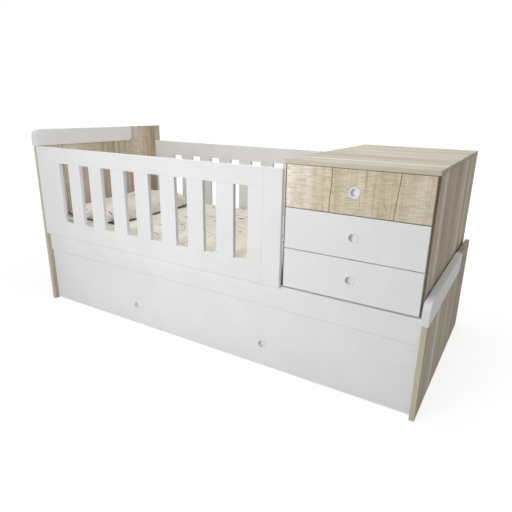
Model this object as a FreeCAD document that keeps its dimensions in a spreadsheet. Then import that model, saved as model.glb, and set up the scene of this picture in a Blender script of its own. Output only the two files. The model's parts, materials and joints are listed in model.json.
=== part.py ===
import FreeCAD, Part
import math
import os
import re

import Sketcher

# Convertible crib: a bed base between a tall and a low end board, a crib with two slatted
# guards on its left, a three-drawer chest on its right and a pull-out bed on castors below.
# Places are counted from the outer face of the tall end board, the front edges of the end
# boards and the floor. The pieces then move so that the origin is the middle of the footprint.

document = FreeCAD.newDocument("ConvertibleCrib")

# Driving sizes, in millimetres: name, value, meaning
driving_sizes = [
    ("length", 1950, "over both end boards"),
    ("depth", 890, "front to back of the end boards"),
    ("tallHeight", 900, "tall end board"),
    ("lowHeight", 441, "low end board"),
    ("board", 18, "thickness of the carcass boards"),
    ("boardEase", 0.8, "chamfer on the edges of a board"),
    ("trimHeight", 80, "lacquered cap on an end board"),
    ("trimLip", 4, "cap proud of the board on each face and in front"),
    ("trimReach", 640, "cap, front to back along the board"),
    ("trimNose", 34, "round upper front corner of the cap"),
    ("trimHeel", 30, "round lower rear corner of the cap"),
    ("trimTongue", 20, "board let into the cap"),
    ("trimSkin", 12, "cap left above the tongue"),
    ("trimEase", 2, "rounded edges of the cap"),
    ("glueGap", 0.1, "play in a fixed joint"),
    ("apronDrop", 68, "upper edge of the front apron below the top of the low board"),
    ("apronHeight", 94, "front and rear apron"),
    ("rearInset", 25, "rear apron in from the back of the end boards"),
    ("rearDrop", 11, "rear apron below the front one"),
    ("stretcherBase", 60, "underside of the rear stretcher"),
    ("stretcherHeight", 100, "rear stretcher"),
    ("cleatDepth", 24, "cleat, measured from the apron"),
    ("cleatHeight", 30, "cleat"),
    ("cleatDrop", 51, "top of the cleats below the top of the front apron"),
    ("fitPlay", 1, "play at the ends of loose pieces"),
    ("slatWidth", 90, "bed slat"),
    ("slatThick", 18, "bed slat"),
    ("slatMargin", 30, "first bed slat in from the end board"),
    ("guardTopGap", 1, "front guard below the cap of the tall board"),
    ("guardThick", 18, "slatted guard"),
    ("guardLap", 5, "front guard over the edge of the chest"),
    ("wideStile", 100, "stile of the front guard at the tall board"),
    ("chestStile", 78, "stile of the front guard at the chest"),
    ("rearStile", 82, "stiles of the rear guard"),
    ("narrowRail", 72, "upper rail in front, lower rail behind"),
    ("wideRail", 82, "lower rail in front, upper rail behind"),
    ("barWidth", 81.5, "upright bar"),
    ("barGap", 64, "space between upright bars"),
    ("guardRound", 1.5, "rounded edges of the guards"),
    ("chestLeft", 1403, "left face of the chest"),
    ("chestGap", 3.5, "chest clear of the cap on the low board"),
    ("chestHeight", 479, "chest above the front apron"),
    ("chestSide", 12, "thickness of the side boards"),
    ("chestInset", 17, "front edges of the side boards behind the faces of the drawers"),
    ("chestTop", 16, "thickness of the top board"),
    ("chestBottom", 16, "thickness of the bottom board"),
    ("chestBack", 3, "thickness of the back sheet"),
    ("chestRearInset", 4, "chest in from the back of the end boards"),
    ("bearerWidth", 22, "bearer under a side of the chest"),
    ("frontThick", 16, "drawer front"),
    ("frontBaseGap", 6.5, "below the lowest drawer front"),
    ("frontTopGap", 1.5, "above the highest drawer front"),
    ("frontGap", 3, "between drawer fronts"),
    ("frontLeftInset", 12.5, "drawer fronts in from the left face of the chest"),
    ("frontRightInset", 8.5, "drawer fronts in from the right face of the chest"),
    ("lowPullShift", 6.5, "pulls of the two lower drawers to the right of the middle"),
    ("drawerLength", 480, "drawer box behind its front"),
    ("drawerHeight", 100, "side of a drawer box"),
    ("drawerLift", 24, "drawer box above the lower edge of its front"),
    ("drawerWall", 12, "side and back of a drawer box"),
    ("drawerFloor", 4, "bottom sheet of a drawer"),
    ("grooveRise", 10, "groove above the lower edge of a drawer side"),
    ("grooveDepth", 6, "groove for the bottom sheet"),
    ("railSpace", 12.7, "between a drawer box and the side of the chest"),
    ("railHeight", 45, "drawer rail"),
    ("railSteel", 1.2, "sheet of the drawer rails"),
    ("railReach", 10, "flange of a drawer rail"),
    ("railRise", 28, "drawer rail above the lower edge of a drawer side"),
    ("runGap", 0.3, "running gap"),
    ("pullRim", 39, "rim of a finger pull"),
    ("pullCup", 28, "inside of a finger pull"),
    ("pullWall", 1.6, "wall of a finger pull"),
    ("pullProud", 2, "rim in front of the board"),
    ("pullDepth", 14, "depth of a finger pull behind the face of its board"),
    ("pullRound", 0.9, "rounded edges of the rim"),
    ("holePlay", 0.2, "pull in its hole, all round"),
    ("trundleSetback", 22, "front of the pull-out bed behind the end boards"),
    ("trundleSideGap", 2, "front of the pull-out bed clear of an end board"),
    ("trundleFloorGap", 6, "front of the pull-out bed above the floor"),
    ("trundleTopGap", 3, "front of the pull-out bed below the apron"),
    ("trundlePullRise", 95, "finger pull above the lower edge of the front"),
    ("trundlePullSpread", 700, "between the finger pulls"),
    ("trayInset", 6, "sides of the tray clear of an end board"),
    ("trayWall", 140, "side of the tray above its base"),
    ("trayBase", 16, "base board of the tray"),
    ("wheelWide", 40, "castor wheel, across"),
    ("wheelWidth", 16, "tread of a castor wheel"),
    ("wheelRound", 3, "rounded edges of the tread"),
    ("wheelPlay", 0.1, "castor wheel on its axle, all round"),
    ("wheelHub", 16, "hub of a castor wheel, across"),
    ("wheelDish", 3, "recess between hub and tread"),
    ("wheelTread", 5, "thickness of the tread"),
    ("wheelTopGap", 3.5, "wheel below its plate"),
    ("forkSteel", 2.5, "sheet of a castor fork"),
    ("forkPlay", 0.5, "wheel in its fork, each side"),
    ("forkLong", 46, "castor plate, front to back"),
    ("forkWide", 36, "castor plate, side to side"),
    ("forkCheek", 14, "lower end of a cheek"),
    ("axleWide", 5, "castor axle"),
    ("axleHead", 8, "riveted head of the axle"),
    ("axleHeadThick", 1, "riveted head of the axle"),
    ("castorEndInset", 110, "castor in from the end of the tray"),
    ("castorFrontInset", 70, "castor in from the front and back of the tray"),
    ("bracketSteel", 2, "angle brackets and plates on the guards"),
    ("bracketWidth", 24, "angle bracket"),
    ("bracketLeg", 30, "upright leg of an angle bracket"),
    ("bracketFoot", 16, "foot of an angle bracket"),
    ("bracketInset", 150, "outer brackets in from the ends of a guard"),
    ("plateHeight", 60, "flat plate behind the rear guard"),
    ("mattressThick", 111, "mattress"),
    ("mattressCorner", 45, "upright corners of the mattress"),
    ("mattressRound", 26, "rounded upper and lower edges of the mattress"),
    ("softGap", 0.3, "soft pieces clear of their neighbours"),
    ("pillowLong", 570, "pillow, front to back"),
    ("pillowWide", 385, "pillow, side to side"),
    ("pillowThick", 104, "pillow"),
    ("pillowWaist", 16, "sides of the pillow drawn in between the corners"),
    ("pillowEndGap", 34, "pillow clear of the tall board"),
    ("pillowFrontGap", 70, "pillow behind the front edge of the mattress"),
    ("overrun", 1, "cutters past the faces that they cut"),
]

# Places and lengths worked out from the driving sizes
derived_sizes = [
    ("middleX", "length / 2", "origin, from the tall board"),
    ("middleY", "(depth - trimLip) / 2", "origin, from the front"),
    ("innerLength", "length - 2 * board", "between the end boards"),
    ("trimThick", "board + 2 * trimLip", "cap"),
    ("apronFront", "guardThick", "front face of the front apron"),
    ("apronTop", "lowHeight - apronDrop", "upper edge of the front apron"),
    ("apronBase", "apronTop - apronHeight", "underside of the front apron"),
    ("guardHeight", "tallHeight - trimHeight - guardTopGap - apronTop", "slatted guard"),
    ("bedFront", "apronFront + board", "inner face of the front apron"),
    ("bedRear", "depth - rearInset - board", "inner face of the rear apron"),
    ("rearTop", "apronTop - rearDrop", "upper edge of the rear apron"),
    ("cleatTop", "apronTop - cleatDrop", "upper face of the cleats"),
    ("slatTop", "cleatTop + slatThick", "upper face of the bed slats"),
    ("frontGuardLong", "chestLeft + guardLap - board", "front guard"),
    ("rearGuardLong", "chestLeft - board", "rear guard"),
    ("barLong", "guardHeight - narrowRail - wideRail", "upright bar"),
    ("barPitch", "barWidth + barGap", "from bar to bar"),
    ("chestRight", "length - board - trimLip - chestGap", "right face of the chest"),
    ("chestRear", "depth - chestRearInset", "back of the chest"),
    ("chestRoof", "apronTop + chestHeight - chestTop", "underside of the top board"),
    ("drawerSpace", "chestRight - chestLeft - 2 * chestSide", "between the sides of the chest"),
    ("frontRise", "(chestRoof - apronTop - frontBaseGap - frontTopGap + frontGap) / 3", "from front to front"),
    ("boxWidth", "drawerSpace - 2 * railSpace", "over the sides of a drawer box"),
    ("boxFront", "apronFront + frontThick", "front end of a drawer box"),
    ("pullBody", "pullCup + 2 * pullWall", "pull where it passes through the board"),
    ("pullHole", "pullBody + 2 * holePlay", "hole for a pull"),
    ("trundleRear", "trundleSetback + board", "back face of the front of the pull-out bed"),
    ("trayDepth", "bedRear - trundleRear - runGap", "tray behind its front, shut against the stretcher"),
    ("trundleTall", "apronBase - trundleTopGap - trundleFloorGap", "front of the pull-out bed"),
    ("plateTop", "wheelWide + wheelTopGap + forkSteel", "underside of the tray"),
    ("trayFloor", "plateTop + trayBase", "upper face of the base of the tray"),
    ("trayLong", "innerLength - 2 * trayInset", "over the sides of the tray"),
    ("forkInside", "wheelWidth + 2 * forkPlay", "between the cheeks"),
    ("forkOutside", "forkInside + 2 * forkSteel", "over the cheeks"),
    ("mattressLong", "chestLeft - board - 2 * fitPlay", "mattress, end to end"),
    ("mattressDeep", "bedRear - bedFront - 2 * fitPlay", "mattress, front to back"),
    ("mattressTop", "slatTop + softGap + mattressThick", "upper face of the mattress"),
]

crib_slats = 9
chest_slats = 3
inner_bars = 7
brackets_per_guard = 3
drawer_names = ["bottom", "middle", "top"]

# The seam of the pillow lies at this share of its thickness. Above and below it the plan
# shrinks by these shares along quarter ellipses, in this many steps each
pillow_seam_share = 0.36
pillow_crown_share = 0.76
pillow_foot_share = 0.22
pillow_steps = 5

sheet_of = {}


def fill_sheet(name, rows, mark):
    sheet = document.addObject("Spreadsheet::Sheet", name)
    for number, (alias, content, meaning) in enumerate(rows, start=1):
        sheet.set("A%d" % number, meaning)
        sheet.set("B%d" % number, mark + formula(str(content)))
        sheet.setAlias("B%d" % number, alias)
        sheet_of[alias] = sheet
    document.recompute()
    return sheet


# Puts its sheet before the name of each size in an expression
def formula(text):
    def qualified(word):
        name = word.group()
        return sheet_of[name].Name + "." + name if name in sheet_of else name
    return re.sub(r"[A-Za-z_]\w*", qualified, text)


fill_sheet("Sizes", driving_sizes, "")
derived_sheet = fill_sheet("Places", derived_sizes, "=")


def measure(text):
    return float(derived_sheet.evalExpression(formula(text)))


pieces = []


def place(thing, x, y, z, turn=None):
    if turn is not None:
        thing.Placement = FreeCAD.Placement(FreeCAD.Vector(), turn)
    thing.setExpression("Placement.Base.x", formula("%s - middleX" % x))
    thing.setExpression("Placement.Base.y", formula("%s - middleY" % y))
    thing.setExpression("Placement.Base.z", formula(z))
    return thing


def new_body(label):
    body = document.addObject("PartDesign::Body", label)
    body.Label = label
    return body


def keep(thing):
    pieces.append(thing)
    return thing


def new_sketch(body, plane, lift=None):
    sketch = body.newObject("Sketcher::SketchObject", "Profile")
    support = [part for part in body.Origin.OriginFeatures if part.Role == plane + "_Plane"][0]
    sketch.AttachmentSupport = (support, [""])
    sketch.MapMode = "FlatFace"
    if lift:
        sketch.setExpression("AttachmentOffset.Base.z", formula(lift))
    return sketch


# Ties a point of a sketch to the sizes, or to an axis of the sketch where its place is zero
def pin(sketch, curve, point, across, up):
    for kind, axis, text in (("DistanceX", -2, across), ("DistanceY", -1, up)):
        if text == "0":
            sketch.addConstraint(Sketcher.Constraint("PointOnObject", curve, point, axis))
        else:
            limit = Sketcher.Constraint(kind, -1, 1, curve, point, measure(text))
            index = sketch.addConstraint(limit)
            sketch.setExpression("Constraints[%d]" % index, formula(text))


def outline(body, plane, corners, lift=None):
    sketch = new_sketch(body, plane, lift)
    points = [FreeCAD.Vector(measure(across), measure(up), 0) for across, up in corners]
    for here, there in zip(points, points[1:] + points[:1]):
        sketch.addGeometry(Part.LineSegment(here, there), False)
    for side in range(len(corners)):
        following = (side + 1) % len(corners)
        sketch.addConstraint(Sketcher.Constraint("Coincident", side, 2, following, 1))
    for side, (across, up) in enumerate(corners):
        pin(sketch, side, 1, across, up)
    return sketch


def rectangle(body, plane, across, up, lift=None):
    corners = [("0", "0"), (across, "0"), (across, up), ("0", up)]
    return outline(body, plane, corners, lift)


def circles(body, plane, centres, diameter, lift=None):
    sketch = new_sketch(body, plane, lift)
    normal = FreeCAD.Vector(0, 0, 1)
    for index, (across, up) in enumerate(centres):
        centre = FreeCAD.Vector(measure(across), measure(up), 0)
        sketch.addGeometry(Part.Circle(centre, normal, measure(diameter) / 2), False)
        limit = sketch.addConstraint(Sketcher.Constraint("Diameter", index, measure(diameter)))
        sketch.setExpression("Constraints[%d]" % limit, formula(diameter))
        pin(sketch, index, 3, across, up)
    return sketch


# The XZ plane of a body faces forward, so what grows backwards from it is reversed
def swept(body, kind, sketch, reach, both_ways=False):
    feature = body.newObject("PartDesign::" + kind, kind)
    feature.Profile = sketch
    if both_ways:
        feature.SideType = "Symmetric"
    backwards = sketch.AttachmentSupport[0][0].Role == "XZ_Plane"
    feature.Reversed = backwards != (kind == "Pocket")
    feature.setExpression("Length", formula(reach))
    document.recompute()
    return feature


def pad(body, sketch, reach, both_ways=False):
    return swept(body, "Pad", sketch, reach, both_ways)


def pocket(body, sketch, reach, both_ways=False):
    solid_before = body.Shape.Volume
    feature = swept(body, "Pocket", sketch, reach, both_ways)
    if body.Shape.Volume >= solid_before:
        raise ValueError("nothing was cut from " + body.Label)
    return feature


def turned(body, corners):
    sketch = outline(body, "XZ", corners)
    feature = body.newObject("PartDesign::Revolution", "Revolution")
    feature.Profile = sketch
    feature.ReferenceAxis = (sketch, ["V_Axis"])
    document.recompute()
    return feature


# Fillet or Chamfer on the edges that a test picks
def ease(body, kind, size, wanted):
    base = body.Tip
    names = ["Edge%d" % number for number, edge in enumerate(base.Shape.Edges, start=1) if wanted(edge)]
    feature = body.newObject("PartDesign::" + kind, kind)
    feature.Base = (base, names)
    feature.setExpression("Radius" if kind == "Fillet" else "Size", formula(size))
    document.recompute()
    return feature


def runs_along(axis):
    def test(edge):
        ends = edge.Vertexes
        if len(ends) < 2:
            return False
        run = ends[1].Point - ends[0].Point
        return run.Length > 0 and abs(run.dot(axis)) > straightness_share * run.Length
    return test


straightness_share = 0.999
along_x = FreeCAD.Vector(1, 0, 0)
along_y = FreeCAD.Vector(0, 1, 0)
along_z = FreeCAD.Vector(0, 0, 1)


# A flat board with eased edges
def board_piece(label, across, deep, tall, x, y, z, kind="Chamfer", size="boardEase"):
    body = new_body(label)
    pad(body, rectangle(body, "XY", across, deep), tall)
    ease(body, kind, size, lambda edge: True)
    return place(body, x, y, z)


def copies(label, placed):
    links = []
    for master, x, y, z, turn in placed:
        link = document.addObject("App::Link", label + "_copy")
        link.LinkedObject = master
        links.append(place(link, x, y, z, turn))
    group = document.addObject("Part::Compound", label)
    group.Label = label
    group.Links = links
    return keep(group)


half_turn = FreeCAD.Rotation(along_z, 180)
facing_back = FreeCAD.Rotation(along_x, -90)
lying_across = FreeCAD.Rotation(along_y, 90)


# End boards: a notch takes the lacquered cap, and a tongue stands up into it
def end_board(label, height, x):
    notch = "%s - trimHeight + trimTongue" % height
    corners = [
        ("0", "0"),
        ("depth", "0"),
        ("depth", height),
        ("trimReach", height),
        ("trimReach", "%s - trimSkin" % height),
        ("trimReach - trimTongue", "%s - trimSkin" % height),
        ("trimReach - trimTongue", notch),
        ("0", notch),
    ]
    body = new_body(label)
    pad(body, outline(body, "YZ", corners), "board")
    keep(place(body, x, "0", "0"))


def end_trim(label, height, x):
    body = new_body(label)
    cap = rectangle(body, "YZ", "trimReach + trimLip", "trimHeight")
    pad(body, cap, "trimThick", both_ways=True)
    cap_length = measure("trimReach + trimLip")
    middle = measure("trimHeight / 2")

    def is_nose(edge):
        at = edge.CenterOfMass
        return runs_along(along_x)(edge) and at.y < middle and at.z > middle

    def is_heel(edge):
        at = edge.CenterOfMass
        return runs_along(along_x)(edge) and at.y > cap_length - middle and at.z < middle

    def on_a_face(edge):
        return abs(abs(edge.CenterOfMass.x) - measure("trimThick / 2")) < measure("trimEase / 2")

    ease(body, "Fillet", "trimNose", is_nose)
    ease(body, "Fillet", "trimHeel", is_heel)
    ease(body, "Fillet", "trimEase", on_a_face)
    groove = [
        ("trimLip - glueGap", "-overrun"),
        ("trimLip + trimReach + overrun", "-overrun"),
        ("trimLip + trimReach + overrun", "trimHeight - trimSkin + glueGap"),
        ("trimLip + trimReach - trimTongue - glueGap", "trimHeight - trimSkin + glueGap"),
        ("trimLip + trimReach - trimTongue - glueGap", "trimTongue + glueGap"),
        ("trimLip - glueGap", "trimTongue + glueGap"),
    ]
    pocket(body, outline(body, "YZ", groove), "board + 2 * glueGap", both_ways=True)
    keep(place(body, "%s + board / 2" % x, "-trimLip", "%s - trimHeight" % height))


end_board("headboard", "tallHeight", "0")
end_trim("headboard_trim", "tallHeight", "0")
end_board("footboard", "lowHeight", "length - board")
end_trim("footboard_trim", "lowHeight", "length - board")


# Bed base. The apron is notched where the cap on the low board passes it
def make_front_apron():
    notch_base = "lowHeight - trimHeight - apronBase - fitPlay"
    corners = [
        ("0", "0"),
        ("innerLength", "0"),
        ("innerLength", notch_base),
        ("innerLength - trimLip - fitPlay", notch_base),
        ("innerLength - trimLip - fitPlay", "apronHeight"),
        ("0", "apronHeight"),
    ]
    body = new_body("front_apron")
    pad(body, outline(body, "XZ", corners), "board")
    keep(place(body, "board", "apronFront", "apronBase"))


def make_bed_base():
    keep(board_piece("rear_apron", "innerLength", "board", "apronHeight",
                     "board", "bedRear", "rearTop - apronHeight"))
    keep(board_piece("rear_stretcher", "innerLength", "board", "stretcherHeight",
                     "board", "bedRear", "stretcherBase"))
    cleat = board_piece("cleat", "innerLength - 2 * fitPlay", "cleatDepth", "cleatHeight", "0", "0", "0")
    copies("base_cleats", [
        (cleat, "board + fitPlay", "bedFront", "cleatTop - cleatHeight", None),
        (cleat, "board + fitPlay", "bedRear - cleatDepth", "cleatTop - cleatHeight", None),
    ])
    slat = board_piece("bed_slat", "slatWidth", "bedRear - bedFront - 2 * fitPlay", "slatThick",
                       "0", "0", "0", "Fillet", "guardRound")
    rows = [
        (crib_slats, "board + slatMargin", "chestLeft - slatMargin - slatWidth"),
        (chest_slats, "chestLeft + bearerWidth + slatMargin",
         "chestRight - bearerWidth - slatMargin - slatWidth"),
    ]
    placed = []
    for count, first, last in rows:
        for index in range(count):
            x = "%s + (%s - (%s)) * %d / %d" % (first, last, first, index, count - 1)
            placed.append((slat, x, "bedFront + fitPlay", "cleatTop", None))
    copies("base_slats", placed)
    bearer = board_piece("bearer", "bearerWidth", "bedRear - bedFront", "cleatDrop", "0", "0", "0")
    copies("chest_bearers", [
        (bearer, "chestLeft", "bedFront", "cleatTop", None),
        (bearer, "chestRight - bearerWidth", "bedFront", "cleatTop", None),
    ])


make_front_apron()
make_bed_base()


# A guard: two stiles, two rails and upright bars. The outer bars fill what is left
def make_guard(name, length, left_stile, right_stile, y, z, lower_rail, upper_rail):
    rail_start = "board + %s" % left_stile
    rail_long = "%s - %s - %s" % (length, left_stile, right_stile)
    outer_bar = "(%s - %d * barWidth - %d * barGap) / 2" % (rail_long, inner_bars, inner_bars + 1)
    bar_base = "%s + %s" % (z, lower_rail)
    size = ("Fillet", "guardRound")
    left = board_piece(name + "_left_stile", left_stile, "guardThick", "guardHeight", "0", "0", "0", *size)
    right = board_piece(name + "_right_stile", right_stile, "guardThick", "guardHeight", "0", "0", "0", *size)
    copies(name + "_stiles", [
        (left, "board", y, z, None),
        (right, "board + %s - %s" % (length, right_stile), y, z, None),
    ])
    keep(board_piece(name + "_bottom_rail", rail_long, "guardThick", lower_rail,
                     rail_start, y, z, *size))
    keep(board_piece(name + "_top_rail", rail_long, "guardThick", upper_rail,
                     rail_start, y, "%s + barLong" % bar_base, *size))
    bar = board_piece(name + "_bar", "barWidth", "guardThick", "barLong", "0", "0", "0", *size)
    end_bar = board_piece(name + "_end_bar", outer_bar, "guardThick", "barLong", "0", "0", "0", *size)
    placed = [
        (end_bar, rail_start, y, bar_base, None),
        (end_bar, "%s + %s - %s" % (rail_start, rail_long, outer_bar), y, bar_base, None),
    ]
    for index in range(inner_bars):
        x = "%s + %s + barGap + %d * barPitch" % (rail_start, outer_bar, index)
        placed.append((bar, x, y, bar_base, None))
    copies(name + "_bars", placed)


make_guard("front_guard", "frontGuardLong", "wideStile", "chestStile", "0", "apronTop", "wideRail", "narrowRail")
make_guard("rear_guard", "rearGuardLong", "rearStile", "rearStile", "bedRear", "rearTop", "narrowRail", "wideRail")


# Angle brackets hold the front guard to the apron, flat plates hold the rear guard
def make_guard_fixings():
    bracket = new_body("bracket")
    section = [
        ("0", "0"),
        ("bracketFoot", "0"),
        ("bracketFoot", "bracketSteel"),
        ("bracketSteel", "bracketSteel"),
        ("bracketSteel", "bracketLeg"),
        ("0", "bracketLeg"),
    ]
    pad(bracket, outline(bracket, "YZ", section), "bracketWidth")
    plate = board_piece("plate", "bracketWidth", "bracketSteel", "plateHeight", "0", "0", "0",
                        "Fillet", "bracketSteel / 5")
    brackets = []
    plates = []
    for index in range(brackets_per_guard):
        share = index / (brackets_per_guard - 1)
        x = "board + bracketInset + (rearGuardLong - 2 * bracketInset) * %s - bracketWidth / 2" % share
        brackets.append((bracket, x, "apronFront", "apronTop", None))
        plates.append((plate, x, "bedRear + board", "rearTop - plateHeight / 2", None))
    copies("guard_brackets", brackets)
    copies("guard_plates", plates)


make_guard_fixings()


# Chest: two sides on bearers, a top over them, a bottom between them and a thin back
def make_chest():
    side_tall = "chestRoof - apronTop"
    side_deep = "chestRear - chestBack - apronFront - chestInset"
    for name, x in (("left", "chestLeft"), ("right", "chestRight - chestSide")):
        keep(board_piece("chest_%s_side" % name, "chestSide", side_deep, side_tall,
                         x, "apronFront + chestInset", "apronTop"))
    keep(board_piece("chest_top", "chestRight - chestLeft", "chestRear - apronFront", "chestTop",
                     "chestLeft", "apronFront", "chestRoof"))
    keep(board_piece("chest_bottom", "drawerSpace", "chestRear - chestBack - boxFront - fitPlay", "chestBottom",
                     "chestLeft + chestSide", "boxFront + fitPlay", "apronTop"))
    keep(board_piece("chest_back", "chestRight - chestLeft", "chestBack", side_tall,
                     "chestLeft", "chestRear - chestBack", "apronTop"))


make_chest()


def c_section(body, reach, steel, tall, long):
    section = [
        ("0", "0"),
        (reach, "0"),
        (reach, steel),
        (steel, steel),
        (steel, "%s - %s" % (tall, steel)),
        (reach, "%s - %s" % (tall, steel)),
        (reach, tall),
        ("0", tall),
    ]
    pad(body, outline(body, "XZ", section), long)


# A finger pull: a round cup with a rim, turned about the axis of its hole.
# Its face lies at zero, and the cup runs up from there before it is turned to the front
def make_pull(label):
    body = new_body(label)
    turned(body, [
        ("0", "pullDepth - pullWall"),
        ("pullCup / 2", "pullDepth - pullWall"),
        ("pullCup / 2", "-pullProud + pullRound"),
        ("pullCup / 2 + pullRound", "-pullProud"),
        ("pullRim / 2 - pullRound", "-pullProud"),
        ("pullRim / 2", "-pullProud + pullRound"),
        ("pullRim / 2", "0"),
        ("pullBody / 2", "0"),
        ("pullBody / 2", "pullDepth"),
        ("0", "pullDepth"),
    ])
    return body


def pull_front(label, across, tall, thick, pulls, x, y, z):
    body = new_body(label)
    pad(body, rectangle(body, "XZ", across, tall), thick)
    ease(body, "Chamfer", "boardEase", lambda edge: True)
    pocket(body, circles(body, "XZ", pulls, "pullHole"), thick)
    keep(place(body, x, y, z))


# Drawers, from the lowest to the highest, each with its own box, pull and runners
def make_drawer(level, name):
    base = "apronTop + frontBaseGap + %d * frontRise" % level
    box_base = "%s + drawerLift" % base
    box_left = "chestLeft + chestSide + railSpace"
    front_left = "chestLeft + frontLeftInset"
    front_wide = "chestRight - frontRightInset - (%s)" % front_left
    front_tall = "frontRise - frontGap"
    pull_across = "(%s) / 2 + %s" % (front_wide, "0" if name == "top" else "lowPullShift")
    pull_front(name + "_drawer_front", front_wide, front_tall, "frontThick",
               [(pull_across, "(%s) / 2" % front_tall)], front_left, "apronFront", base)
    pull = make_pull(name + "_drawer_pull")
    keep(place(pull, "%s + %s" % (front_left, pull_across), "apronFront", "%s + (%s) / 2" % (base, front_tall),
               facing_back))

    side = new_body(name + "_drawer_side")
    section = [
        ("0", "0"),
        ("drawerWall", "0"),
        ("drawerWall", "grooveRise"),
        ("drawerWall - grooveDepth", "grooveRise"),
        ("drawerWall - grooveDepth", "grooveRise + drawerFloor + glueGap"),
        ("drawerWall", "grooveRise + drawerFloor + glueGap"),
        ("drawerWall", "drawerHeight"),
        ("0", "drawerHeight"),
    ]
    pad(side, outline(side, "XZ", section), "drawerLength")
    copies(name + "_drawer_sides", [
        (side, box_left, "boxFront", box_base, None),
        (side, "%s + boxWidth" % box_left, "boxFront + drawerLength", box_base, half_turn),
    ])
    floor_wide = "boxWidth - 2 * (drawerWall - grooveDepth + glueGap)"
    keep(board_piece(name + "_drawer_bottom", floor_wide, "drawerLength", "drawerFloor",
                     "%s + drawerWall - grooveDepth + glueGap" % box_left, "boxFront",
                     "%s + grooveRise" % box_base))
    back_rise = "grooveRise + drawerFloor"
    keep(board_piece(name + "_drawer_back", "boxWidth - 2 * drawerWall", "drawerWall",
                     "drawerHeight - (%s)" % back_rise, "%s + drawerWall" % box_left,
                     "boxFront + drawerLength - drawerWall", "%s + %s" % (box_base, back_rise)))

    runner = new_body(name + "_runner")
    runner_tall = "railHeight - 2 * (railSteel + runGap)"
    c_section(runner, "railReach", "railSteel", runner_tall, "drawerLength")
    runner_base = "%s + railRise + railSteel + runGap" % box_base
    copies(name + "_drawer_runners", [
        (runner, box_left, "boxFront + drawerLength", runner_base, half_turn),
        (runner, "%s + boxWidth" % box_left, "boxFront", runner_base, None),
    ])
    return "%s + railRise" % box_base


def make_drawers():
    rail = new_body("rail")
    c_section(rail, "railReach", "railSteel", "railHeight", "drawerLength")
    rails = []
    for level, name in enumerate(drawer_names):
        rail_base = make_drawer(level, name)
        rails.append((rail, "chestLeft + chestSide", "boxFront", rail_base, None))
        rails.append((rail, "chestRight - chestSide", "boxFront + drawerLength", rail_base, half_turn))
    copies("drawer_rails", rails)


make_drawers()


# Pull-out bed: a tray behind a full-length front, on four fixed castors
def make_trundle():
    front_long = "innerLength - 2 * trundleSideGap"
    pull_places = ["middleX + trundlePullSpread * %s" % side for side in ("-0.5", "0.5")]
    front_left = "board + trundleSideGap"
    centres = [("%s - (%s)" % (x, front_left), "trundlePullRise") for x in pull_places]
    pull_front("trundle_front", front_long, "trundleTall", "board", centres,
               front_left, "trundleSetback", "trundleFloorGap")
    pull = make_pull("trundle_pull")
    copies("trundle_pulls", [
        (pull, x, "trundleSetback", "trundleFloorGap + trundlePullRise", facing_back) for x in pull_places
    ])
    tray_left = "board + trayInset"
    keep(board_piece("trundle_base", "trayLong", "trayDepth", "trayBase", tray_left, "trundleRear", "plateTop"))
    for name, x in (("left", tray_left), ("right", "%s + trayLong - board" % tray_left)):
        keep(board_piece("trundle_%s_side" % name, "board", "trayDepth", "trayWall",
                         x, "trundleRear", "trayFloor"))
    keep(board_piece("trundle_back", "trayLong - 2 * board", "board", "trayWall",
                     "%s + board" % tray_left, "trundleRear + trayDepth - board", "trayFloor"))


# A castor fork: a plate on top, and cheeks that narrow towards the axle
def make_castor_fork():
    body = new_body("castor_fork")
    axle_drop = "plateTop - wheelWide / 2"
    block = [
        ("-forkLong / 2", "-forkSteel"),
        ("-forkCheek / 2", "-(%s) - forkCheek / 2" % axle_drop),
        ("forkCheek / 2", "-(%s) - forkCheek / 2" % axle_drop),
        ("forkLong / 2", "-forkSteel"),
        ("forkLong / 2", "0"),
        ("-forkLong / 2", "0"),
    ]
    pad(body, outline(body, "YZ", block), "forkOutside", both_ways=True)
    low = measure("-(%s)" % axle_drop)
    ease(body, "Fillet", "forkCheek / 3", lambda edge: runs_along(along_x)(edge) and edge.CenterOfMass.z < low)
    inside = [
        ("-forkLong / 2 - overrun", "-forkSteel"),
        ("forkLong / 2 + overrun", "-forkSteel"),
        ("forkLong / 2 + overrun", "-plateTop"),
        ("-forkLong / 2 - overrun", "-plateTop"),
    ]
    pocket(body, outline(body, "YZ", inside), "forkInside", both_ways=True)
    hole = circles(body, "YZ", [("0", "-(%s)" % axle_drop)], "axleWide + glueGap")
    pocket(body, hole, "forkOutside + 2 * overrun", both_ways=True)
    plate = [
        ("-forkWide / 2", "-forkSteel"),
        ("forkWide / 2", "-forkSteel"),
        ("forkWide / 2", "0"),
        ("-forkWide / 2", "0"),
    ]
    pad(body, outline(body, "XZ", plate), "forkLong", both_ways=True)
    return body


def make_castor_axle():
    body = new_body("castor_axle")
    half = "(forkOutside / 2 + glueGap)"
    turned(body, [
        ("0", "-%s - axleHeadThick" % half),
        ("axleHead / 2", "-%s - axleHeadThick" % half),
        ("axleHead / 2", "-%s" % half),
        ("axleWide / 2", "-%s" % half),
        ("axleWide / 2", half),
        ("axleHead / 2", half),
        ("axleHead / 2", "%s + axleHeadThick" % half),
        ("0", "%s + axleHeadThick" % half),
    ])
    return body


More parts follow.
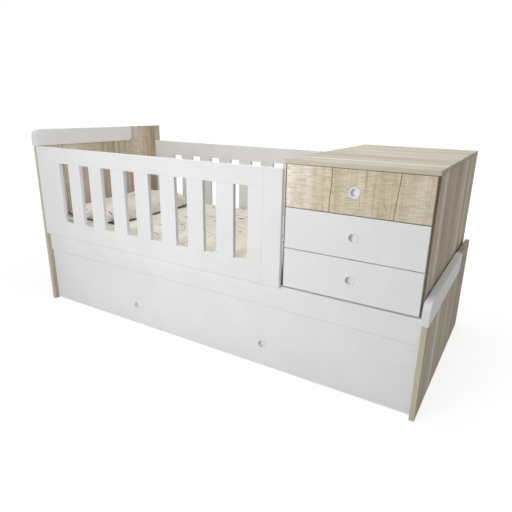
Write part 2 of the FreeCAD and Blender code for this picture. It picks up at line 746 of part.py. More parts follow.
# A wheel: bore, hub, dished web on both sides and a round-edged tread
def make_castor_wheel(label):
    body = new_body(label)
    web = "(wheelWidth / 2 - wheelDish)"
    tread_inside = "wheelWide / 2 - wheelTread"
    turned(body, [
        ("axleWide / 2 + wheelPlay", "-wheelWidth / 2"),
        ("wheelHub / 2", "-wheelWidth / 2"),
        ("wheelHub / 2", "-%s" % web),
        (tread_inside, "-%s" % web),
        (tread_inside, "-wheelWidth / 2"),
        ("wheelWide / 2 - wheelRound", "-wheelWidth / 2"),
        ("wheelWide / 2", "-wheelWidth / 2 + wheelRound"),
        ("wheelWide / 2", "wheelWidth / 2 - wheelRound"),
        ("wheelWide / 2 - wheelRound", "wheelWidth / 2"),
        (tread_inside, "wheelWidth / 2"),
        (tread_inside, web),
        ("wheelHub / 2", web),
        ("wheelHub / 2", "wheelWidth / 2"),
        ("axleWide / 2 + wheelPlay", "wheelWidth / 2"),
    ])
    return body


def make_castors():
    fork = make_castor_fork()
    axle = make_castor_axle()
    across = [
        ("left", "board + trayInset + castorEndInset"),
        ("right", "length - board - trayInset - castorEndInset"),
    ]
    along = [
        ("front", "trundleRear + castorFrontInset"),
        ("rear", "trundleRear + trayDepth - castorFrontInset"),
    ]
    forks = []
    axles = []
    for end, y in along:
        for side, x in across:
            forks.append((fork, x, y, "plateTop", None))
            axles.append((axle, x, y, "wheelWide / 2", lying_across))
            wheel = make_castor_wheel("castor_wheel_%s_%s" % (end, side))
            keep(place(wheel, x, y, "wheelWide / 2", lying_across))
    copies("castor_forks", forks)
    copies("castor_axles", axles)


make_trundle()
make_castors()


def make_mattress():
    body = new_body("mattress")
    pad(body, rectangle(body, "XY", "mattressLong", "mattressDeep"), "mattressThick")
    ease(body, "Fillet", "mattressCorner", runs_along(along_z))
    thickness = measure("mattressThick")

    def on_top_or_bottom(edge):
        height = edge.CenterOfMass.z
        return min(height, thickness - height) < measure("softGap")

    ease(body, "Fillet", "mattressRound", on_top_or_bottom)
    keep(place(body, "board + fitPlay", "bedFront + fitPlay", "slatTop + softGap"))


def pillow_profile():
    profile = []
    for step in range(-pillow_steps, pillow_steps + 1):
        angle = math.pi / 2 * step / pillow_steps
        room = 1 - pillow_seam_share if step > 0 else pillow_seam_share
        loss = pillow_crown_share if step > 0 else pillow_foot_share
        profile.append((pillow_seam_share + room * math.sin(angle), 1 - loss * (1 - math.cos(angle))))
    return profile


# The plan of the pillow has four arcs that draw in between its corners. It is lofted through
# that plan at several heights, flat where it rests on the mattress and crowned above
def make_pillow():
    half_wide = measure("pillowWide / 2")
    half_long = measure("pillowLong / 2")
    waist = measure("pillowWaist")
    thick = measure("pillowThick")
    wires = []
    for height_share, plan_share in pillow_profile():
        height = thick * height_share
        wide = half_wide * plan_share
        long = half_long - half_wide * (1 - plan_share)
        inward = waist * plan_share
        corners = [(-wide, -long), (wide, -long), (wide, long), (-wide, long)]
        middles = [(0, -long + inward), (wide - inward, 0), (0, long - inward), (-wide + inward, 0)]
        arcs = []
        for side in range(len(corners)):
            points = [corners[side], middles[side], corners[(side + 1) % len(corners)]]
            start, middle, end = [FreeCAD.Vector(x, y, height) for x, y in points]
            arcs.append(Part.Arc(start, middle, end).toShape())
        wires.append(Part.Wire(arcs))
    pillow = document.addObject("Part::Feature", "pillow")
    pillow.Label = "pillow"
    pillow.Shape = Part.makeLoft(wires, True, False)
    keep(place(pillow, "board + pillowEndGap + pillowWide / 2",
               "bedFront + pillowFrontGap + pillowLong / 2", "mattressTop + softGap"))


make_mattress()
make_pillow()
document.recompute()

# Nothing is written unless every object and every shape is sound
for thing in document.Objects:
    faults = [state for state in thing.State if state in ("Invalid", "Error")]
    if faults:
        raise RuntimeError("%s is %s" % (thing.Label, ", ".join(faults)))
for piece in pieces:
    if piece.Shape.isNull() or not piece.Shape.isValid() or not piece.Shape.Solids:
        raise RuntimeError("%s has no sound shape" % piece.Label)

os.makedirs("parts", exist_ok=True)
for piece in pieces:
    piece.Shape.exportStep("parts/%s.step" % piece.Label)
box = Part.makeCompound([piece.Shape for piece in pieces]).optimalBoundingBox(False, False)
print(len(pieces), "nodes,", sum(len(piece.Shape.Solids) for piece in pieces), "solids")
print("box %.1f %.1f %.1f to %.1f %.1f %.1f" % (box.XMin, box.YMin, box.ZMin, box.XMax, box.YMax, box.ZMax))
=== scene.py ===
import json
import math

import bpy
import numpy as np
from mathutils import Matrix, Vector


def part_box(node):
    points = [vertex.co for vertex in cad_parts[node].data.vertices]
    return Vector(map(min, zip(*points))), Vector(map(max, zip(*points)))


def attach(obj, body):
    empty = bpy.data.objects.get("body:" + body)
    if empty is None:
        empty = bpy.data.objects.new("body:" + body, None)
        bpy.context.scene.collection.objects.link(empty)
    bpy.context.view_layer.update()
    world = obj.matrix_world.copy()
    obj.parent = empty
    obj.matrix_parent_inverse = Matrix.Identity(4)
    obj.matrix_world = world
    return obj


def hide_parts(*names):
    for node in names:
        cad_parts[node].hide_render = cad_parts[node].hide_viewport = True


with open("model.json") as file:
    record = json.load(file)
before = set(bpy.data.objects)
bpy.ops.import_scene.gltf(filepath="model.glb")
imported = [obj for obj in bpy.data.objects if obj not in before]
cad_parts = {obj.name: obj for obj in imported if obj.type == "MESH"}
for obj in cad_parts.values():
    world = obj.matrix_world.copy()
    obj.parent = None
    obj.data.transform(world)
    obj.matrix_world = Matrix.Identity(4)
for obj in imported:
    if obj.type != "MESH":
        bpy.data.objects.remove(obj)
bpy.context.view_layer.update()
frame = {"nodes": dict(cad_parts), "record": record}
nodes = frame["nodes"]
print("frame loaded:", len(nodes), "nodes")


# A colour read off a colour chart, 0 to 255, as the linear colour of a socket
def tone(red, green, blue):
    shares = [part / 255 for part in (red, green, blue)]
    linear = [s / 12.92 if s < 0.04 else ((s + 0.055) / 1.055) ** 2.4 for s in shares]
    return (*linear, 1)


# One shader node. A socket given as a value is linked, anything else is set on the node's input
def add(tree, kind, sockets=(), **settings):
    made = tree.nodes.new("ShaderNode" + kind)
    for name, value in settings.items():
        setattr(made, name, value)
    for name, value in dict(sockets).items():
        if isinstance(value, bpy.types.NodeSocket):
            tree.links.new(value, made.inputs[name])
        else:
            made.inputs[name].default_value = value
    return made


def calc(tree, operation, first, second=0.0, third=0.0):
    return add(tree, "Math", {0: first, 1: second, 2: third}, operation=operation).outputs[0]


# Rises from 0 to 1 while value goes from low to high
def fade(tree, value, low, high):
    made = add(tree, "MapRange", {"Value": value, "From Min": low, "From Max": high}, interpolation_type="SMOOTHSTEP")
    return made.outputs["Result"]


def mixed(tree, share, first, second, blend="MIX"):
    made = add(tree, "Mix", {0: share, 6: first, 7: second}, data_type="RGBA", blend_type=blend)
    return made.outputs[2]


def ramp(tree, value, stops):
    stops = list(stops)
    made = add(tree, "ValToRGB", {"Fac": value})
    points = made.color_ramp.elements
    while len(points) < len(stops):
        points.new(0.5)
    for point, (place, colour) in zip(points, stops):
        point.position = place
        point.color = colour
    return made.outputs["Color"]


# Noise in the object's own metres, with cells per metre along x, y and z
def noise(tree, point, cells, detail=3.0, roughness=0.55, shift=(0, 0, 0)):
    spread = add(tree, "Mapping", {"Vector": point, "Location": shift, "Scale": cells}).outputs["Vector"]
    made = add(tree, "TexNoise", {"Vector": spread, "Scale": 1.0, "Detail": detail, "Roughness": roughness})
    return made.outputs["Fac"]


def newMaterial(name):
    material = bpy.data.materials.new(name)
    material.use_nodes = True
    tree = material.node_tree
    shader = tree.nodes["Principled BSDF"]
    point = add(tree, "TexCoord").outputs["Object"]
    return material, tree, shader, point


def dent(tree, shader, height, depth):
    made = add(tree, "Bump", {"Height": height, "Distance": depth})
    tree.links.new(made.outputs["Normal"], shader.inputs["Normal"])


# White satin lacquer on board: a fine orange peel, faint clouding and slightly duller patches
lacquer = {"colour": tone(237, 237, 238), "cloud": 0.03, "roughness": (0.34, 0.46), "specular": 0.4, "peel": 0.00004}


def makeLacquer(name, colour=lacquer["colour"], specular=lacquer["specular"]):
    material, tree, shader, point = newMaterial(name)
    cloud = noise(tree, point, (5, 5, 5), 4)
    dull = tuple(part * (1 - lacquer["cloud"]) for part in colour[:3]) + (1,)
    tree.links.new(mixed(tree, fade(tree, cloud, 0.35, 0.65), colour, dull), shader.inputs["Base Color"])
    patch = add(tree, "MapRange", {"Value": noise(tree, point, (14, 14, 14), 5),
                                   "To Min": lacquer["roughness"][0], "To Max": lacquer["roughness"][1]})
    tree.links.new(patch.outputs["Result"], shader.inputs["Roughness"])
    shader.inputs["Specular IOR Level"].default_value = specular
    dent(tree, shader, noise(tree, point, (420, 420, 420), 2), lacquer["peel"])
    return material


# Oak decor. The grain runs along one axis, and colours go from the dark pores to the pale wood
oak = {
    "dark": tone(143, 129, 107),
    "mid": tone(190, 178, 155),
    "pale": tone(215, 206, 187),
    "rose": tone(192, 174, 154),
    "white": tone(234, 230, 221),
    "line": tone(128, 112, 88),
    "crack": tone(70, 58, 42),
    "edge": tone(212, 204, 184),
    "roughness": 0.62,
    "specular": 0.3,
    "grainDepth": 0.00022,
    # noises: cells per metre across the grain and along it, detail, shift
    "broad": (9, 0.9, 3, 0.0),
    "middle": (48, 2.2, 4, 3.1),
    "fine": (330, 6, 5, 7.7),
    "blush": (7, 2.5, 2, 13.0),
    "pores": (620, 16, 3, 21.0),
    "contours": (22, 1.3, 2, 41.0),
    "contourPatches": (14, 3, 2, 53.0),
    "cuts": (34, 215, 1, 61.0),
    "cutPatches": (20, 14, 3, 31.0),
    # shares of broad, middle and fine in the figure, and where its colours stand
    "shares": (0.46, 0.38, 0.16),
    "stops": (0.33, 0.46, 0.60, 0.78),
    "blushShare": 0.45,
    "poreShare": 0.34,
    "contourCount": 7.0,
    "crackWander": 0.016,
    "crackShare": 0.85,
    "edgeShare": 0.35,
}


# streaks are bands beside each other across the grain, pale, or dark with a minus: place, half width, strength.
# cracks are dark lines along it: place at the low end and at the high end, low end, high end, half width
def makeOak(name, along, across, streaks=(), cracks=(), sawMarks=0.0, lines=0.3, contrast=1.0, edges=True,
            edgeTone=oak["edge"], shade=(1, 1, 1), shift=(0, 0, 0)):
    material, tree, shader, point = newMaterial(name)
    axes = add(tree, "SeparateXYZ", {"Vector": point})
    length, breadth = axes.outputs[along], axes.outputs[across]

    def grain(acrossCells, alongCells, detail, extra):
        cells = [acrossCells] * 3
        cells["XYZ".index(along)] = alongCells
        return noise(tree, point, cells, detail, 0.6, (shift[0] + extra, shift[1], shift[2]))

    broad, middle, fine = (grain(*oak[size]) for size in ("broad", "middle", "fine"))
    body = calc(tree, "MULTIPLY", broad, oak["shares"][0])
    body = calc(tree, "ADD", body, calc(tree, "MULTIPLY", middle, oak["shares"][1]))
    body = calc(tree, "ADD", body, calc(tree, "MULTIPLY", fine, oak["shares"][2]))
    body = calc(tree, "MULTIPLY_ADD", calc(tree, "SUBTRACT", body, 0.5), contrast, 0.5)
    for place, half, strength in streaks:
        wander = calc(tree, "MULTIPLY_ADD", calc(tree, "SUBTRACT", middle, 0.5), half * 0.5, breadth)
        near = calc(tree, "ABSOLUTE", calc(tree, "SUBTRACT", wander, place))
        band = calc(tree, "SUBTRACT", 1.0, fade(tree, near, half * 0.45, half))
        body = calc(tree, "MULTIPLY_ADD", band, strength, body)
    colour = ramp(tree, body, zip(oak["stops"], (oak["dark"], oak["mid"], oak["pale"], oak["white"])))
    blush = calc(tree, "MULTIPLY", fade(tree, grain(*oak["blush"]), 0.5, 0.68), oak["blushShare"])
    colour = mixed(tree, blush, colour, oak["rose"])
    pores = fade(tree, grain(*oak["pores"]), 0.60, 0.72)
    colour = mixed(tree, calc(tree, "MULTIPLY", pores, oak["poreShare"]), colour, oak["dark"])
    steps = calc(tree, "FRACT", calc(tree, "MULTIPLY", grain(*oak["contours"]), oak["contourCount"]))
    contour = calc(tree, "ABSOLUTE", calc(tree, "SUBTRACT", steps, 0.5))
    vein = calc(tree, "SUBTRACT", 1.0, fade(tree, contour, 0.02, 0.09))
    vein = calc(tree, "MULTIPLY", vein, fade(tree, grain(*oak["contourPatches"]), 0.42, 0.6))
    colour = mixed(tree, calc(tree, "MULTIPLY", vein, lines), colour, oak["line"])
    relief = calc(tree, "SUBTRACT", fine, calc(tree, "MULTIPLY", pores, 0.8))
    relief = calc(tree, "SUBTRACT", relief, calc(tree, "MULTIPLY", vein, lines))
    if sawMarks:
        cuts = fade(tree, grain(*oak["cuts"]), 0.40, 0.62)
        patchy = calc(tree, "MULTIPLY_ADD", fade(tree, grain(*oak["cutPatches"]), 0.36, 0.60), 0.3, 0.7)
        saw = calc(tree, "MULTIPLY", calc(tree, "MULTIPLY", cuts, patchy), sawMarks)
        colour = mixed(tree, saw, colour, oak["dark"])
        relief = calc(tree, "SUBTRACT", relief, saw)
    for lowPlace, highPlace, low, high, half in cracks:
        travel = calc(tree, "DIVIDE", calc(tree, "SUBTRACT", length, low), high - low)
        line = calc(tree, "MULTIPLY_ADD", travel, highPlace - lowPlace, lowPlace)
        cells = [24 if axis == along else 0.1 for axis in "XYZ"]
        wobble = calc(tree, "SUBTRACT", noise(tree, point, cells, 4, 0.7, (lowPlace * 40, 0, 0)), 0.5)
        line = calc(tree, "MULTIPLY_ADD", wobble, oak["crackWander"], line)
        off = calc(tree, "ABSOLUTE", calc(tree, "SUBTRACT", breadth, line))
        core = calc(tree, "SUBTRACT", 1.0, fade(tree, off, half * 0.35, half))
        within = calc(tree, "MULTIPLY", fade(tree, length, low - 0.004, low),
                      calc(tree, "SUBTRACT", 1.0, fade(tree, length, high - 0.02, high)))
        slit = calc(tree, "MULTIPLY", calc(tree, "MULTIPLY", core, within), oak["crackShare"])
        colour = mixed(tree, slit, colour, oak["crack"])
        relief = calc(tree, "SUBTRACT", relief, calc(tree, "MULTIPLY", slit, 2.5))
    colour = mixed(tree, 1.0, colour, (*shade, 1), "MULTIPLY")
    # Faces along y, the boards' front and back edges, are blended towards edgeTone; on the chest sides that tone is a
    # painted shade
    if edges:
        facing = add(tree, "SeparateXYZ", {"Vector": add(tree, "TexCoord").outputs["Normal"]}).outputs["Y"]
        onEdge = fade(tree, calc(tree, "ABSOLUTE", facing), 0.8, 0.95)
        band = mixed(tree, oak["edgeShare"], edgeTone, colour)
        colour = mixed(tree, onEdge, colour, band)
    tree.links.new(colour, shader.inputs["Base Color"])
    shader.inputs["Roughness"].default_value = oak["roughness"]
    shader.inputs["Specular IOR Level"].default_value = oak["specular"]
    dent(tree, shader, relief, oak["grainDepth"])
    return material


# Planed pine with growth rings and a few knots, for what is hidden under the bedding
pine = {
    "pale": tone(226, 203, 165),
    "ring": tone(203, 167, 118),
    "knot": tone(120, 78, 46),
    "roughness": 0.55,
    "ringCells": (26.0, 1.6),
    "ringCount": 9.0,
    "ringShare": 0.55,
    "ringDepth": 0.0001,
    "knotCells": (7.0, 2.6),
    "knotRadius": (0.05, 0.13),
}


def makePine(name, along):
    material, tree, shader, point = newMaterial(name)

    def stretched(acrossCells, alongCells):
        cells = [acrossCells] * 3
        cells["XYZ".index(along)] = alongCells
        return cells

    bend = noise(tree, point, stretched(*pine["ringCells"]), 3)
    rings = calc(tree, "FRACT", calc(tree, "MULTIPLY", bend, pine["ringCount"]))
    late = fade(tree, rings, 0.55, 0.95)
    colour = mixed(tree, calc(tree, "MULTIPLY", late, pine["ringShare"]), pine["pale"], pine["ring"])
    spread = add(tree, "Mapping", {"Vector": point, "Scale": stretched(*pine["knotCells"])}).outputs["Vector"]
    away = add(tree, "TexVoronoi", {"Vector": spread, "Scale": 1.0, "Randomness": 1.0}).outputs["Distance"]
    knots = calc(tree, "SUBTRACT", 1.0, fade(tree, away, *pine["knotRadius"]))
    colour = mixed(tree, knots, colour, pine["knot"])
    tree.links.new(colour, shader.inputs["Base Color"])
    shader.inputs["Roughness"].default_value = pine["roughness"]
    dent(tree, shader, late, pine["ringDepth"])
    return material


# Zinc plated steel: pale spangles and a brushed bite
steel = {
    "colour": tone(196, 199, 202),
    "spangleCells": 420.0,
    "spangleShare": 0.12,
    "roughness": (0.28, 0.5),
    "brushCells": (900, 60, 60),
    "scratchCells": (700, 90, 90),
    "scratchDepth": 0.00003,
}


def makeZinc(name):
    material, tree, shader, point = newMaterial(name)
    spangle = add(tree, "TexVoronoi", {"Vector": point, "Scale": steel["spangleCells"]}).outputs["Color"]
    colour = mixed(tree, steel["spangleShare"], steel["colour"], spangle, "OVERLAY")
    tree.links.new(colour, shader.inputs["Base Color"])
    shader.inputs["Metallic"].default_value = 1.0
    rough = add(tree, "MapRange", {"Value": noise(tree, point, steel["brushCells"], 3),
                                   "To Min": steel["roughness"][0], "To Max": steel["roughness"][1]})
    tree.links.new(rough.outputs["Result"], shader.inputs["Roughness"])
    dent(tree, shader, noise(tree, point, steel["scratchCells"], 3), steel["scratchDepth"])
    return material


# Moulded plastic, with a fine spark-eroded grain
pullPlastic = {"colour": tone(238, 239, 242), "roughness": 0.32, "grainDepth": 0.00002}
wheelPlastic = {"colour": tone(74, 75, 78), "roughness": 0.5, "grainDepth": 0.00005}


def makePlastic(name, colour, roughness, grainDepth):
    material, tree, shader, point = newMaterial(name)
    cloud = noise(tree, point, (40, 40, 40), 3)
    darker = tuple(part * 0.93 for part in colour[:3]) + (1,)
    tree.links.new(mixed(tree, fade(tree, cloud, 0.35, 0.65), colour, darker), shader.inputs["Base Color"])
    shader.inputs["Roughness"].default_value = roughness
    dent(tree, shader, noise(tree, point, (1500, 1500, 1500), 2), grainDepth)
    return material


# Printed cotton in cream: long thin taupe arcs that cross each other, charcoal crosses and dashes,
# and a few red leaves, each set out by chance on its own lattice
cotton = {
    "ground": tone(236, 231, 217),
    "line": tone(140, 128, 110),
    "charcoal": tone(44, 42, 44),
    "red": tone(176, 16, 24),
    "cloud": 0.06,
    "warp": 0.10,
    "warpCells": 3.0,
    "arcs": ((0.52, 0.27), (0.40, 0.21)),  # lattice cell and radius
    "arcShift": 0.37,
    "lineHalf": 0.0017,
    "lineShare": 0.75,
    "spineBow": 0.8,
    "markCell": 0.105,
    "markShare": 0.9,
    "slash": (0.025, 0.0038, 6.0),  # reach, half width, bow
    "slashBelow": 0.42,
    "cross": (0.016, 0.0030),
    "crossAbove": 0.66,
    "leafCell": 0.31,
    "leafBelow": 0.5,
    "leafHalf": 0.0135,
    "leafBow": -26.0,
    "leafEnd": 0.37,
    # painted shade at the head end: the grey tint the cloth is multiplied by, and how far towards the foot it fades
    # out
    "paintedShadeTint": (0.72, 0.735, 0.78, 1),
    "paintedShadeReach": 0.5,
    "roughness": 0.86,
    "specular": 0.15,
    "sheen": 0.25,
    "sheenRoughness": 0.5,
    "thread": 0.0011,
    "weaveDepth": 0.00012,
}


# A mark on each cell of a lattice: how far the point lies from the cell's middle, turned by chance
def scattered(tree, plane, cell, shift):
    moved = add(tree, "VectorMath", {0: plane, 1: (shift, shift * 0.7, 0)}, operation="ADD").outputs[0]
    spread = add(tree, "VectorMath", {0: moved, "Scale": 1 / cell}, operation="SCALE").outputs[0]
    cells = add(tree, "TexVoronoi", {"Vector": spread, "Scale": 1.0, "Randomness": 0.55}, voronoi_dimensions="2D")
    local = add(tree, "VectorMath", {0: spread, 1: cells.outputs["Position"]}, operation="SUBTRACT").outputs[0]
    local = add(tree, "VectorMath", {0: local, "Scale": cell}, operation="SCALE").outputs[0]
    chance = add(tree, "SeparateColor", {"Color": cells.outputs["Color"]})
    angle = calc(tree, "MULTIPLY", chance.outputs[0], math.tau)
    turned = add(tree, "VectorRotate", {"Vector": local, "Angle": angle}, rotation_type="Z_AXIS").outputs[0]
    parts = add(tree, "SeparateXYZ", {"Vector": turned})
    return parts.outputs["X"], parts.outputs["Y"], chance.outputs[1]


# A short line through the cell's middle, straight or bowed
def dash(tree, along, across, reach, half, curve=0.0):
    bow = calc(tree, "MULTIPLY", calc(tree, "MULTIPLY", along, along), curve)
    off = calc(tree, "ABSOLUTE", calc(tree, "SUBTRACT", across, bow))
    inside = calc(tree, "SUBTRACT", 1.0, fade(tree, off, half * 0.6, half))
    ends = calc(tree, "SUBTRACT", 1.0, fade(tree, calc(tree, "ABSOLUTE", along), reach * 0.85, reach))
    return calc(tree, "MULTIPLY", inside, ends)


# A circle round the cell's middle. The cell's borders leave arcs of it
def arc(tree, along, across, radius, half):
    away = calc(tree, "SQRT", calc(tree, "MULTIPLY_ADD", along, along, calc(tree, "MULTIPLY", across, across)))
    off = calc(tree, "ABSOLUTE", calc(tree, "SUBTRACT", away, radius))
    return calc(tree, "SUBTRACT", 1.0, fade(tree, off, half * 0.5, half * 1.4))


# The last argument, if given, is where a painted shade at the head end begins: the cloth is multiplied by a grey tint
# there, fading out towards the foot
def makeCotton(name, shift, ground=cotton["ground"], paintedShadeFrom=None):
    material, tree, shader, point = newMaterial(name)
    axes = add(tree, "SeparateXYZ", {"Vector": point})
    down = calc(tree, "ADD", axes.outputs["Y"], axes.outputs["Z"])
    flat = add(tree, "CombineXYZ", {"X": axes.outputs["X"], "Y": down}).outputs[0]
    warp = add(tree, "TexNoise", {"Vector": flat, "Scale": cotton["warpCells"], "Detail": 0.0}).outputs["Color"]
    bent = add(tree, "VectorMath", {0: warp, 1: (cotton["warp"], cotton["warp"], 0), 2: flat},
               operation="MULTIPLY_ADD").outputs[0]
    dull = tuple(part * (1 - cotton["cloud"]) for part in ground[:3]) + (1,)
    colour = mixed(tree, fade(tree, noise(tree, point, (9, 9, 9), 3), 0.3, 0.7), ground, dull)
    for turn, (cell, radius) in enumerate(cotton["arcs"]):
        along, across, pick = scattered(tree, bent, cell, shift + turn * cotton["arcShift"])
        spine = dash(tree, along, across, cell / 2, cotton["lineHalf"], cotton["spineBow"])
        line = calc(tree, "MAXIMUM", arc(tree, along, across, radius, cotton["lineHalf"]), spine)
        colour = mixed(tree, calc(tree, "MULTIPLY", line, cotton["lineShare"]), colour, cotton["line"])

    along, across, pick = scattered(tree, flat, cotton["markCell"], shift)
    slash = dash(tree, along, across, *cotton["slash"])
    slash = calc(tree, "MULTIPLY", slash, calc(tree, "LESS_THAN", pick, cotton["slashBelow"]))
    cross = calc(tree, "MAXIMUM", dash(tree, along, across, *cotton["cross"]),
                 dash(tree, across, along, *cotton["cross"]))
    cross = calc(tree, "MULTIPLY", cross, calc(tree, "GREATER_THAN", pick, cotton["crossAbove"]))
    mark = calc(tree, "MAXIMUM", slash, cross)
    colour = mixed(tree, calc(tree, "MULTIPLY", mark, cotton["markShare"]), colour, cotton["charcoal"])

    along, across, pick = scattered(tree, flat, cotton["leafCell"], shift + 0.5)
    width = calc(tree, "MULTIPLY_ADD", calc(tree, "MULTIPLY", along, along), cotton["leafBow"], cotton["leafHalf"])
    beyond = calc(tree, "SUBTRACT", calc(tree, "ABSOLUTE", across), width)
    leaf = calc(tree, "SUBTRACT", 1.0, fade(tree, beyond, -0.0006, 0.0004))
    leaf = calc(tree, "MULTIPLY", leaf, calc(tree, "LESS_THAN", pick, cotton["leafBelow"]))
    leaf = calc(tree, "MULTIPLY", leaf, calc(tree, "LESS_THAN", axes.outputs["X"], cotton["leafEnd"]))
    colour = mixed(tree, leaf, colour, cotton["red"])

    # Painted shade: towards the head end the colour is multiplied by a grey tint, fading out towards the foot
    if paintedShadeFrom is not None:
        grey = calc(tree, "SUBTRACT", 1.0, fade(tree, axes.outputs["X"], paintedShadeFrom, paintedShadeFrom + cotton["paintedShadeReach"]))
        colour = mixed(tree, grey, colour, cotton["paintedShadeTint"], "MULTIPLY")
    tree.links.new(colour, shader.inputs["Base Color"])
    shader.inputs["Roughness"].default_value = cotton["roughness"]
    shader.inputs["Specular IOR Level"].default_value = cotton["specular"]
    shader.inputs["Sheen Weight"].default_value = cotton["sheen"]
    shader.inputs["Sheen Roughness"].default_value = cotton["sheenRoughness"]
    waves = {"Vector": flat, "Scale": 0.5 / cotton["thread"] / 3.14, "Distortion": 0.6}
    weft = add(tree, "TexWave", waves, bands_direction="X").outputs["Fac"]
    warpThreads = add(tree, "TexWave", waves, bands_direction="Y").outputs["Fac"]
    dent(tree, shader, calc(tree, "MAXIMUM", weft, warpThreads), cotton["weaveDepth"])
    return material


pipingCloth = {"dark": tone(40, 38, 40), "light": tone(74, 70, 70), "roughness": 0.9, "depth": 0.0002}


def makePiping(name):
    material, tree, shader, point = newMaterial(name)
    twist = noise(tree, point, (900, 900, 900), 2)
    tree.links.new(mixed(tree, twist, pipingCloth["dark"], pipingCloth["light"]), shader.inputs["Base Color"])
    shader.inputs["Roughness"].default_value = pipingCloth["roughness"]
    dent(tree, shader, twist, pipingCloth["depth"])
    return material


whiteBoard = makeLacquer("white lacquer")
capWhite = makeLacquer("white lacquered cap", tone(234, 234, 234), 0.12)
sheetBack = makeLacquer("white foil back", tone(228, 228, 226))
plasticWhite = makePlastic("white pull plastic", **pullPlastic)
wheelGrey = makePlastic("castor wheel plastic", **wheelPlastic)
zinc = makeZinc("zinc plated steel")
pineAlongX = makePine("pine along the bed", "X")
pineAlongY = makePine("pine across the bed", "Y")

tallBoard = {
    "streaks": [(-0.30, 0.14, 0.12), (-0.16, 0.05, 0.05), (0.23, 0.05, 0.03), (0.38, 0.07, -0.05)],
    "cracks": [(0.046, 0.054, -0.01, 0.91, 0.0022), (-0.290, -0.296, -0.01, 0.91, 0.0020),
               (0.335, 0.330, -0.01, 0.91, 0.0018)],
    "sawMarks": 0.30,
    "contrast": 0.9,
    "shade": (1.10, 1.08, 1.09),
    "shift": (2.0, 0.0, 0.0),
}
oakTall = makeOak("oak tall board", "Z", "Y", **tallBoard)

lowBoard = {
    "streaks": [(-0.228, 0.045, 0.24), (0.18, 0.05, 0.06), (-0.36, 0.05, -0.05), (0.34, 0.10, -0.08)],
    "shade": (0.86, 0.84, 0.79),
    "shift": (5.0, 1.3, 0.0),
}
oakLow = makeOak("oak low board", "Z", "Y", **lowBoard)

chestSide = {
    "streaks": [(-0.312, 0.034, 0.28), (0.145, 0.040, 0.25), (-0.23, 0.05, -0.07), (-0.01, 0.05, -0.06),
                (0.30, 0.03, 0.12)],
    # painted shade: the front edges take a dark tone that stands for the shade in the recess beside the drawer fronts
    "edgeTone": tone(112, 98, 78),
    "shade": (0.96, 0.92, 0.87),
    "shift": (9.0, 0.4, 0.0),
}
oakSide = makeOak("oak chest sides", "Z", "Y", **chestSide)

chestTop = {
    "streaks": [(-0.313, 0.024, 0.22), (-0.16, 0.11, -0.06), (-0.057, 0.012, 0.07), (0.009, 0.014, -0.08),
                (0.12, 0.06, 0.12)],
    "lines": 0.25,
    "shade": (0.80, 0.805, 0.815),
    "shift": (0.0, 3.7, 1.0),
}
oakTop = makeOak("oak chest top", "X", "Y", **chestTop)

topDrawerFront = {
    "streaks": [(0.455, 0.040, 0.40), (0.505, 0.045, 0.26), (0.57, 0.04, 0.10), (0.90, 0.05, 0.02)],
    "cracks": [(0.6034, 0.6118, 0.675, 0.85, 0.0019), (0.8230, 0.8388, 0.675, 0.85, 0.0018),
               (0.5826, 0.5826, 0.675, 0.722, 0.0013), (0.5550, 0.5550, 0.675, 0.710, 0.0010),
               (0.8688, 0.8688, 0.675, 0.694, 0.0018)],
    "sawMarks": 0.36,
    "lines": 0.42,
    "contrast": 0.8,
    "edges": False,
    "shade": (1.20, 1.19, 1.15),
    "shift": (0.0, 6.0, 0.0),
}
oakDrawer = makeOak("oak drawer front", "Z", "X", **topDrawerFront)

finishes = {
    "white_board": whiteBoard,
    "zinc_steel": zinc,
    "white_plastic": plasticWhite,
    "grey_wheel": wheelGrey,
    "pine": pineAlongX,
}
ownFinishes = {
    "headboard": oakTall,
    "headboard_trim": capWhite,
    "footboard_trim": capWhite,
    "footboard": oakLow,
    "chest_left_side": oakSide,
    "chest_right_side": oakSide,
    "chest_top": oakTop,
    "top_drawer_front": oakDrawer,
    "base_slats": pineAlongY,
    "chest_bearers": pineAlongY,
    "chest_back": sheetBack,
    "bottom_drawer_bottom": sheetBack,
    "middle_drawer_bottom": sheetBack,
    "top_drawer_bottom": sheetBack,
}
for part in frame["record"]["subparts"]:
    name = part["node"]
    finish = ownFinishes.get(name) or finishes.get(part["material_slot"])
    if finish:
        nodes[name].data.materials.clear()
        nodes[name].data.materials.append(finish)
print("finishes assigned")


def newPiece(name, points, faces, material, smooth=True):
    mesh = bpy.data.meshes.new(name)
    mesh.from_pydata([tuple(p) for p in points], [], faces)
    mesh.materials.append(material)
    for face in mesh.polygons:
        face.use_smooth = smooth
    mesh.update()
    piece = bpy.data.objects.new(name, mesh)
    bpy.context.scene.collection.objects.link(piece)
    return piece


# Blows the piece up a little with cloth pressure, and keeps each point near where it was
air = {"frames": 20, "quality": 6, "mass": 0.25, "stiffness": 15.0, "shear": 5.0, "bending": 0.3}


